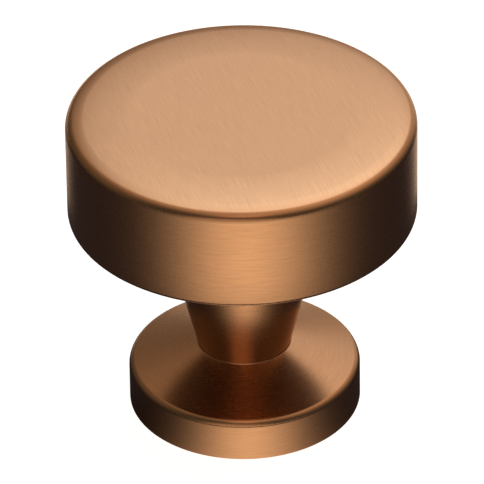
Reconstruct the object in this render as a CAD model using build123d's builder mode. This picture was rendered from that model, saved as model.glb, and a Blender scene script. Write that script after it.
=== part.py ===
"""Round cabinet knob, turned from one piece of brass: disc head, cone stem and foot.

Millimetres. The origin is the centre of the flat back, which sits on the door or drawer,
and +Z runs along the turning axis to the face of the head.
"""

import os
from math import radians, tan

from build123d import *

# Head: a thick disc with rounded edges, which the fingers pull on from behind.
head_diameter = 32.0
head_thickness = 10.25
head_face_edge_radius = 0.9
head_back_edge_radius = 0.4

# Face: flat in the middle, then a slight slope and a steeper ease towards the rounded edge, each
# blended in by a radius, as brushing leaves it.
face_slope_width = 2.8
face_slope_angle = 4.0
face_blend_radius = 58.0
rim_ease_width = 0.35
rim_ease_angle = 12.0
rim_ease_radius = 6.5

# Stem: a cone that narrows from the head down to the foot.
projection = 30.95
stem_head_diameter = 15.8
stem_foot_diameter = 8.6
stem_foot_radius = 0.12

# Foot: a short round wall, with a shallow cone on top that climbs to the stem.
foot_diameter = 21.4
foot_wall_height = 4.05
foot_cone_rise = 2.1
foot_rim_radius = 0.75
foot_back_chamfer = 0.05

# Fixing hole: blind, drilled to the tapping size of the machine screw, with a countersunk mouth.
screw_diameter = 4.0
screw_pitch = 0.7
hole_depth = 13.0
mouth_diameter = 4.6
mouth_angle = 90.0
drill_point_angle = 118.0

# Corners of the turned section: radii from the axis and heights above the flat back.
stem_foot_height = foot_wall_height + foot_cone_rise
head_back_height = projection - head_thickness
head_radius = head_diameter / 2
ease_start_radius = head_radius - head_face_edge_radius - rim_ease_width
slope_start_radius = ease_start_radius - face_slope_width
ease_start_height = projection - face_slope_width * tan(radians(face_slope_angle))
ease_drop = (head_radius - ease_start_radius) * tan(radians(rim_ease_angle))

# A tapping drill is one pitch smaller than the screw, and leaves a cone at the end of its hole.
tapping_radius = (screw_diameter - screw_pitch) / 2
drill_point_length = tapping_radius / tan(radians(drill_point_angle / 2))

with BuildPart() as knob:
    # Half of the turned section, drawn from the axis out, with one radius for each corner.
    with BuildSketch(Plane.XZ):
        with BuildLine():
            FilletPolyline(
                (0, 0),
                (foot_diameter / 2, 0),
                (foot_diameter / 2, foot_wall_height),
                (stem_foot_diameter / 2, stem_foot_height),
                (stem_head_diameter / 2, head_back_height),
                (head_radius, head_back_height),
                (head_radius, ease_start_height - ease_drop),
                (ease_start_radius, ease_start_height),
                (slope_start_radius, projection),
                (0, projection),
                radius=(
                    0,
                    0,
                    foot_rim_radius,
                    stem_foot_radius,
                    0,
                    head_back_edge_radius,
                    head_face_edge_radius,
                    rim_ease_radius,
                    face_blend_radius,
                    0,
                ),
                close=True,
            )
        make_face()
    revolve(axis=Axis.Z)

    # The sharp edge of the back is broken, so that the knob sits flat on the wood.
    back_edge = knob.edges().filter_by(GeomType.CIRCLE).group_by(Axis.Z)[0]
    chamfer(back_edge, length=foot_back_chamfer)

    # The hole goes in from the back, so its plane looks out of the back face.
    with Locations(-Plane.XY):
        CounterSinkHole(
            radius=tapping_radius,
            counter_sink_radius=mouth_diameter / 2,
            depth=hole_depth,
            counter_sink_angle=mouth_angle,
        )
    with Locations((0, 0, hole_depth)):
        Cone(
            bottom_radius=tapping_radius,
            top_radius=0,
            height=drill_point_length,
            align=(Align.CENTER, Align.CENTER, Align.MIN),
            mode=Mode.SUBTRACT,
        )

os.makedirs("parts", exist_ok=True)
knob.part.label = "knob"
export_step(knob.part, "parts/knob.step")
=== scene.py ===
from math import atan2, cos, hypot, pi, radians, sin, tan

import bmesh
import bpy
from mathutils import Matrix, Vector


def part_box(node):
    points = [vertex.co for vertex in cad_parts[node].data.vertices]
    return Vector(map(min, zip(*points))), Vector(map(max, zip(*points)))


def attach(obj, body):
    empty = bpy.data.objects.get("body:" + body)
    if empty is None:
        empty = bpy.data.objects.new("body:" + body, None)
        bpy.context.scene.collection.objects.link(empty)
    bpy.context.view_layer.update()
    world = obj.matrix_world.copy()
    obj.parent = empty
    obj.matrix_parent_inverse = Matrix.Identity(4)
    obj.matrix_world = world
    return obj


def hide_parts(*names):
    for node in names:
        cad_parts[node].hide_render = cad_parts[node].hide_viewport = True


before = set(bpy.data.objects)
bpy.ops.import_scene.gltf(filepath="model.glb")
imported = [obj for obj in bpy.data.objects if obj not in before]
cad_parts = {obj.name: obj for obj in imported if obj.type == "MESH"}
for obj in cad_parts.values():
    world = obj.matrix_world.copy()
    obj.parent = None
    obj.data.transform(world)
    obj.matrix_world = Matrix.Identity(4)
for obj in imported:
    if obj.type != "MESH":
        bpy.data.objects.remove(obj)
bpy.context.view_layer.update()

scene = bpy.context.scene
scene.view_settings.view_transform = "Standard"

# Knob: disc head, cone stem and round foot, turned from one piece of brass bar, then drilled and
# tapped from the back for the screw. The sides keep the fine rings of the lathe, the face is
# brushed straight across, and the outside is plated a warm bronze.
MM = 0.001
_, knob_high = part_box("knob")
head_radius = knob_high.x
face_height = knob_high.z
head_thickness = 10.25 * MM
head_face_edge_radius = 0.9 * MM
head_back_edge_radius = 0.4 * MM
face_slope_angle = radians(4)
face_slope_width = 2.8 * MM
face_blend_radius = 58 * MM
rim_ease_angle = radians(12)
rim_ease_width = 0.35 * MM
rim_ease_radius = 6.5 * MM
stem_head_radius = 7.9 * MM
stem_foot_radius = 4.3 * MM
stem_foot_fillet = 0.12 * MM
foot_radius = 10.7 * MM
foot_wall_height = 4.05 * MM
foot_cone_rise = 2.1 * MM
foot_rim_radius = 0.75 * MM
foot_back_chamfer = 0.05 * MM
screw_radius = 2.0 * MM
screw_pitch = 0.7 * MM
hole_depth = 13.0 * MM
mouth_radius = 2.3 * MM
mouth_angle = radians(90)
drill_point_angle = radians(118)

# What follows from those sizes. A tapping drill is one pitch smaller across than the screw.
head_back_height = face_height - head_thickness
ease_start_radius = head_radius - head_face_edge_radius - rim_ease_width
slope_start_radius = ease_start_radius - face_slope_width
ease_start_height = face_height - face_slope_width * tan(face_slope_angle)
ease_drop = (head_radius - ease_start_radius) * tan(rim_ease_angle)
tapping_radius = screw_radius - screw_pitch / 2
mouth_depth = (mouth_radius - tapping_radius) / tan(mouth_angle / 2)
drill_point_length = tapping_radius / tan(drill_point_angle / 2)

# The turned section, from the tip of the drilled hole round the outside to the middle of the
# face: radius and height of each corner, and the radius that rounds it.
turned_section = [
    (0, hole_depth + drill_point_length, 0),
    (tapping_radius, hole_depth, 0),
    (tapping_radius, mouth_depth, 0),
    (mouth_radius, 0, 0),
    (foot_radius - foot_back_chamfer, 0, 0),
    (foot_radius, foot_back_chamfer, 0),
    (foot_radius, foot_wall_height, foot_rim_radius),
    (stem_foot_radius, foot_wall_height + foot_cone_rise, stem_foot_fillet),
    (stem_head_radius, head_back_height, 0),
    (head_radius, head_back_height, head_back_edge_radius),
    (head_radius, ease_start_height - ease_drop, head_face_edge_radius),
    (ease_start_radius, ease_start_height, rim_ease_radius),
    (slope_start_radius, face_height, face_blend_radius),
    (0, face_height, 0),
]
knob_bmesh = bmesh.new()
corners = [knob_bmesh.verts.new((x, 0, z)) for x, z, _ in turned_section]
for pair in zip(corners, corners[1:]):
    knob_bmesh.edges.new(pair)

# A rounded corner starts the same distance back along both of its runs.
rounding_segments = 12
for i, (x, z, rounding) in enumerate(turned_section):
    if rounding:
        here = Vector((x, z))
        before = Vector(turned_section[i - 1][:2]) - here
        after = Vector(turned_section[i + 1][:2]) - here
        bmesh.ops.bevel(
            knob_bmesh,
            geom=[corners[i]],
            offset=rounding / tan(before.angle(after) / 2),
            offset_type="OFFSET",
            segments=rounding_segments,
            profile=0.5,
            affect="VERTICES",
            material=-1,
        )

# The wall of the hole gets enough rows to take the thread.
rows_per_pitch = 8
thread_rows = round((hole_depth - mouth_depth) / screw_pitch * rows_per_pitch)
hole_wall = [
    edge
    for edge in knob_bmesh.edges
    if edge.verts[0].co.x == edge.verts[1].co.x < mouth_radius
]
bmesh.ops.subdivide_edges(knob_bmesh, edges=hole_wall, cuts=thread_rows)

# Each point of the section carries its distance along it, which the lathe's rings follow.
along_section = knob_bmesh.verts.layers.float.new("along_section")
knob_bmesh.verts.ensure_lookup_table()
point = next(vert for vert in knob_bmesh.verts if vert.co.x == 0 and vert.co.z < face_height)
walked, edge = 0.0, None
while point:
    point[along_section] = walked
    edge = next((run for run in point.link_edges if run is not edge), None)
    walked += edge.calc_length() if edge else 0
    point = edge.other_vert(point) if edge else None

# The section is turned round the axis, and its seam and its two poles are closed.
turning_steps = 144
merge_distance = 0.0001 * MM
bmesh.ops.spin(
    knob_bmesh,
    geom=knob_bmesh.verts[:] + knob_bmesh.edges[:],
    cent=(0, 0, 0),
    axis=(0, 0, 1),
    angle=2 * pi,
    steps=turning_steps,
    use_merge=True,
)
bmesh.ops.remove_doubles(knob_bmesh, verts=knob_bmesh.verts[:], dist=merge_distance)
bmesh.ops.recalc_face_normals(knob_bmesh, faces=knob_bmesh.faces[:])

# The thread is cut into the wall of the hole, fades in over its first pitch and runs out before
# the hole's end. Crest and flank are shares of half a pitch.
thread_depth = screw_radius - tapping_radius
crest_share = 0.125
flank_share = 0.625
untapped_depth = 2.0 * MM
thread_end = hole_depth - untapped_depth
wall_tolerance = 0.001 * MM
for vert in knob_bmesh.verts:
    x, y, z = vert.co
    radius = hypot(x, y)
    if abs(radius - tapping_radius) < wall_tolerance and mouth_depth < z < thread_end:
        turn = z / screw_pitch - atan2(y, x) / (2 * pi)
        from_crest = abs(2 * (turn % 1) - 1)
        groove = min(max((from_crest - crest_share) / flank_share, 0), 1)
        run_out = min((z - mouth_depth) / screw_pitch, (thread_end - z) / screw_pitch, 1)
        grown = 1 + thread_depth * groove * run_out / radius
        vert.co.x, vert.co.y = x * grown, y * grown


def place_piece(name, shape):
    """An object in the scene, with the finished bmesh as its mesh."""
    mesh = bpy.data.meshes.new(name)
    shape.to_mesh(mesh)
    shape.free()
    piece = bpy.data.objects.new(name, mesh)
    scene.collection.objects.link(piece)
    return piece


sharp_edge_angle = radians(30)
for face in knob_bmesh.faces:
    face.smooth = True
knob_body = place_piece("knob_body", knob_bmesh)
knob_body.data.set_sharp_from_angle(angle=sharp_edge_angle)


def feed(node, inputs):
    """Set the inputs of a node to values, or link them to sockets."""
    for name, value in inputs.items():
        if isinstance(value, bpy.types.NodeSocket):
            node.id_data.links.new(value, node.inputs[name])
        else:
            node.inputs[name].default_value = value


def add_node(tree, kind, inputs, **settings):
    """A new node with its settings and inputs."""
    node = tree.nodes.new(kind)
    for name, value in settings.items():
        setattr(node, name, value)
    feed(node, inputs)
    return node


def calculate(tree, operation, *values):
    """The result of a math node."""
    inputs = dict(enumerate(values))
    return add_node(tree, "ShaderNodeMath", inputs, operation=operation).outputs[0]


def ramp(tree, value, start, end, first=0, last=1, course="LINEAR"):
    """A change from the first to the last level while a value goes from the start to the end."""
    return add_node(
        tree,
        "ShaderNodeMapRange",
        {"Value": value, "From Min": start, "From Max": end, "To Min": first, "To Max": last},
        interpolation_type=course,
    ).outputs[0]


# Brushed bronze: plated metal with the lathe's rings on the turned sides and straight brush
# lines on the face, both as fine changes of tone, polish and height.
bronze_colour = (0.67, 0.37, 0.206)
ring_width = 0.12 * MM
ring_drift = 2.5 * MM
brush_width = 0.12 * MM
brush_length = 3 * MM
brush_turn = radians(18)
brushing_starts = face_height - 0.75 * MM
brushing_full = face_height - 0.40 * MM
mark_detail = 3
mark_harshness = 0.6
mark_range = (0.3, 0.7)
mark_tones = (0.945, 1.055)
mark_roughness = (0.28, 0.24)
relief_strength = 0.05
relief_height = 0.01 * MM

bronze = bpy.data.materials.new("brushed_bronze")
bronze.use_nodes = True
bronze_tree = bronze.node_tree
coords = bronze_tree.nodes.new("ShaderNodeTexCoord").outputs["Object"]
on_knob = add_node(bronze_tree, "ShaderNodeSeparateXYZ", {"Vector": coords}).outputs
along = add_node(bronze_tree, "ShaderNodeAttribute", {}, attribute_name="along_section")
ring_place = add_node(
    bronze_tree,
    "ShaderNodeCombineXYZ",
    {
        "X": calculate(bronze_tree, "MULTIPLY", on_knob["X"], 1 / ring_drift),
        "Y": calculate(bronze_tree, "MULTIPLY", on_knob["Y"], 1 / ring_drift),
        "Z": calculate(bronze_tree, "MULTIPLY", along.outputs["Fac"], 1 / ring_width),
    },
)
brush_place = add_node(
    bronze_tree,
    "ShaderNodeMapping",
    {
        "Vector": coords,
        "Rotation": (0, 0, brush_turn),
        "Scale": (brush_width, brush_length, 1),
    },
    vector_type="TEXTURE",
)
lathe_rings, brush_lines = (
    add_node(
        bronze_tree,
        "ShaderNodeTexNoise",
        {
            "Vector": place.outputs[0],
            "Scale": 1,
            "Detail": mark_detail,
            "Roughness": mark_harshness,
        },
    )
    for place in (ring_place, brush_place)
)
marks = add_node(
    bronze_tree,
    "ShaderNodeMix",
    {
        "Factor": ramp(bronze_tree, on_knob["Z"], brushing_starts, brushing_full),
        "A": lathe_rings.outputs["Fac"],
        "B": brush_lines.outputs["Fac"],
    },
    data_type="FLOAT",
).outputs["Result"]

mark_tone = ramp(bronze_tree, marks, *mark_range, *mark_tones)
toned = add_node(
    bronze_tree, "ShaderNodeVectorMath", {0: bronze_colour, "Scale": mark_tone}, operation="SCALE"
)
relief = add_node(
    bronze_tree,
    "ShaderNodeBump",
    {"Height": marks, "Strength": relief_strength, "Distance": relief_height},
)
feed(
    bronze_tree.nodes["Principled BSDF"],
    {
        "Base Color": toned.outputs[0],
        "Metallic": 1,
        "Roughness": ramp(bronze_tree, marks, *mark_range, *mark_roughness),
        "Normal": relief.outputs[0],
    },
)
knob_body.data.materials.append(bronze)
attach(knob_body, "root")
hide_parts("knob")

# Floor: a plain white table top. It stays white where the lamps leave it grey, and it keeps the
# soft shadow of the knob.
floor_half_width = 3.0
floor_glow = 0.925
floor_paint = (0.7, 0.7, 0.7, 1)
floor_bmesh = bmesh.new()
bmesh.ops.create_grid(floor_bmesh, x_segments=1, y_segments=1, size=floor_half_width)
table_top = place_piece("floor", floor_bmesh)

white = bpy.data.materials.new("white_floor")
white.use_nodes = True
white_tree = white.node_tree
white_tree.nodes.clear()
rays = white_tree.nodes.new("ShaderNodeLightPath").outputs
in_metal = calculate(white_tree, "MAXIMUM", rays["Is Glossy Ray"], rays["Is Transmission Ray"])
seen = calculate(white_tree, "MAXIMUM", rays["Is Camera Ray"], in_metal)
glow_level = calculate(white_tree, "MULTIPLY", seen, floor_glow)
glow = add_node(white_tree, "ShaderNodeEmission", {"Strength": glow_level})
paint = add_node(white_tree, "ShaderNodeBsdfDiffuse", {"Color": floor_paint})
both = add_node(white_tree, "ShaderNodeAddShader", {0: glow.outputs[0], 1: paint.outputs[0]})
add_node(white_tree, "ShaderNodeOutputMaterial", {"Surface": both.outputs[0]})
table_top.data.materials.append(white)

# Painted reflections: a black card laid on the table round the knob, seen only in the metal's
# reflections, paints its dark flanks. It has wide soft gaps towards the camera and behind the
# knob, filled with warm gel that paints a warm tint into the reflected floor. The camera sees
# neither card nor gel, and they cast no shadow.
card_radius = 3.0
card_height = 0.05 * MM
# Painted reflection: the card's black and the gel's warm tint show only in the metal.
painted_reflection_black = (0.066, 0.069, 0.095, 1)
painted_reflection_tint = (1.0, 0.89, 0.72, 1)
front_gap_apex = 3.3 * MM
front_gap = {"middle": radians(2.6), "width": radians(37.8), "steepness": 2}
back_gap = {"middle": radians(2), "width": radians(40), "steepness": 4}
back_gap_share = 0.85
# Painted shadow: the strip darkens the reflected table where the knob's head shades it.
shadow_strip_starts = (18.0 * MM, 20.6 * MM)
shadow_strip_ends = (37.6 * MM, 41.2 * MM)
gaps_fade = (45 * MM, 120 * MM)
fade_share = 0.35
card_bmesh = bmesh.new()
bmesh.ops.create_circle(card_bmesh, cap_ends=True, segments=64, radius=card_radius)
bmesh.ops.translate(card_bmesh, verts=card_bmesh.verts[:], vec=(0, 0, card_height))
painted_reflection_cards = place_piece("painted_reflection_cards", card_bmesh)
painted_reflection_cards.visible_camera = False
painted_reflection_cards.visible_diffuse = False
painted_reflection_cards.visible_shadow = False


def soft_gap(tree, aside, ahead, middle, width, steepness):
    """How open the card is at a place, by the place's bearing from the middle of the gap."""
    off_middle = calculate(tree, "SUBTRACT", calculate(tree, "ARCTAN2", aside, ahead), middle)
    in_widths = calculate(tree, "DIVIDE", off_middle, width)
    closing = calculate(tree, "POWER", in_widths, steepness)
    return calculate(tree, "EXPONENT", calculate(tree, "MULTIPLY", closing, -1))


# A round strip of card, soft at its edges, crosses both gaps: a painted shadow of the knob's head
# on the table, seen only in the metal. Far out they close by a third, which darkens the reflected
# floor there.
painted_reflection_material = bpy.data.materials.new("painted_reflection_card")
painted_reflection_material.use_nodes = True
card_tree = painted_reflection_material.node_tree
card_tree.nodes.clear()
card_coords = card_tree.nodes.new("ShaderNodeTexCoord").outputs["Object"]
on_card = add_node(card_tree, "ShaderNodeSeparateXYZ", {"Vector": card_coords}).outputs
towards_camera = calculate(card_tree, "SUBTRACT", -front_gap_apex, on_card["Y"])
open_front = soft_gap(card_tree, on_card["X"], towards_camera, **front_gap)
behind_knob = soft_gap(card_tree, on_card["X"], on_card["Y"], **back_gap)
open_back = calculate(card_tree, "MULTIPLY", behind_knob, back_gap_share)
either_gap = calculate(card_tree, "MAXIMUM", open_front, open_back)
flat_place = add_node(card_tree, "ShaderNodeCombineXYZ", {"X": on_card["X"], "Y": on_card["Y"]})
reach = add_node(
    card_tree, "ShaderNodeVectorMath", {0: flat_place.outputs[0]}, operation="LENGTH"
).outputs["Value"]
in_shadow_strip = ramp(card_tree, reach, *shadow_strip_starts, course="SMOOTHSTEP")
past_shadow_strip = ramp(card_tree, reach, *shadow_strip_ends, course="SMOOTHSTEP")
far_out = ramp(card_tree, reach, *gaps_fade, course="SMOOTHSTEP")
before_shadow_strip = calculate(card_tree, "SUBTRACT", 1, in_shadow_strip)
closed = calculate(card_tree, "MULTIPLY", far_out, fade_share)
open_beyond = calculate(card_tree, "SUBTRACT", past_shadow_strip, closed)
beside_shadow_strip = calculate(card_tree, "ADD", before_shadow_strip, open_beyond)
gap = calculate(card_tree, "MULTIPLY", either_gap, beside_shadow_strip)
# In the gaps the metal sees the floor, tinted by the gel; elsewhere it sees painted black.
gel = add_node(card_tree, "ShaderNodeBsdfTransparent", {"Color": painted_reflection_tint})
black = add_node(card_tree, "ShaderNodeBsdfDiffuse", {"Color": painted_reflection_black})
card = add_node(
    card_tree, "ShaderNodeMixShader", {0: gap, 1: black.outputs[0], 2: gel.outputs[0]}
)
add_node(card_tree, "ShaderNodeOutputMaterial", {"Surface": card.outputs[0]})
painted_reflection_cards.data.materials.append(painted_reflection_material)

# Studio light: a large soft box above and behind the knob, the glow that spreads round it and low
# to the right, and a dim warm room to the left, in front and over the camera. Bearings run from
# the camera's side, positive to the right.
room_colour = (0.065, 0.060, 0.045)
soft_lights = [
    # bearing, elevation, full within, gone beyond, in degrees, and the colour of the light
    (-179, 59, 8, 23, (0.250, 0.305, 0.335)),  # soft box, upper middle
    (168, 54, 13, 26, (0.440, 0.585, 0.648)),  # soft box, upper right
    (169, 34, 13, 20, (0.410, 0.475, 0.520)),  # soft box, lower right
    (150, 8, 4, 24, (0.280, 0.250, 0.185)),  # low glow, behind on the right
    (158, 27, 13, 65, (0.225, 0.158, 0.117)),  # glow round the soft box
    (120, 73, 4, 69, (0.644, 0.462, 0.324)),  # glow overhead
    (-110, 45, 10, 50, (0.100, 0.065, 0.035)),  # room, left
    (-7, 0, 22, 33, (0.440, 0.312, 0.235)),  # room, in front
    (0, 56, 0, 20, (0.640, 0.363, 0.247)),  # room, over the camera
]
world = bpy.data.worlds.new("studio")
scene.world = world
world.use_nodes = True
studio_tree = world.node_tree
outward = studio_tree.nodes.new("ShaderNodeTexCoord").outputs["Generated"]
light = room_colour
for bearing, elevation, full, gone, colour in soft_lights:
    across = cos(radians(elevation))
    aim = (
        across * sin(radians(bearing)),
        -across * cos(radians(bearing)),
        sin(radians(elevation)),
    )
    facing = add_node(
        studio_tree, "ShaderNodeVectorMath", {0: outward, 1: aim}, operation="DOT_PRODUCT"
    )
    angle = calculate(studio_tree, "ARCCOSINE", facing.outputs["Value"])
    lit = ramp(studio_tree, angle, radians(full), radians(gone), 1, 0, course="SMOOTHSTEP")
    light = add_node(
        studio_tree,
        "ShaderNodeVectorMath",
        {0: lit, 1: colour, 2: light},
        operation="MULTIPLY_ADD",
    ).outputs[0]
feed(studio_tree.nodes["Background"], {"Color": light})

# Camera: a long lens some 66 cm away, looking down on the knob at the photograph's angle, and
# turned a little on its own axis.
camera_place = (-0.00008, -0.54497, 0.39033)
camera_tilt = radians(55.5787)
camera_roll = radians(-0.8476)
camera_lens = 535.80
photo_camera = bpy.data.objects.new("photo_camera", bpy.data.cameras.new("photo_camera"))
scene.collection.objects.link(photo_camera)
photo_camera.data.sensor_width = 36
photo_camera.data.lens = camera_lens
photo_camera.data.clip_start = 0.01
photo_camera.location = camera_place
photo_camera.rotation_mode = "ZYX"
photo_camera.rotation_euler = (camera_tilt, 0, camera_roll)
scene.camera = photo_camera
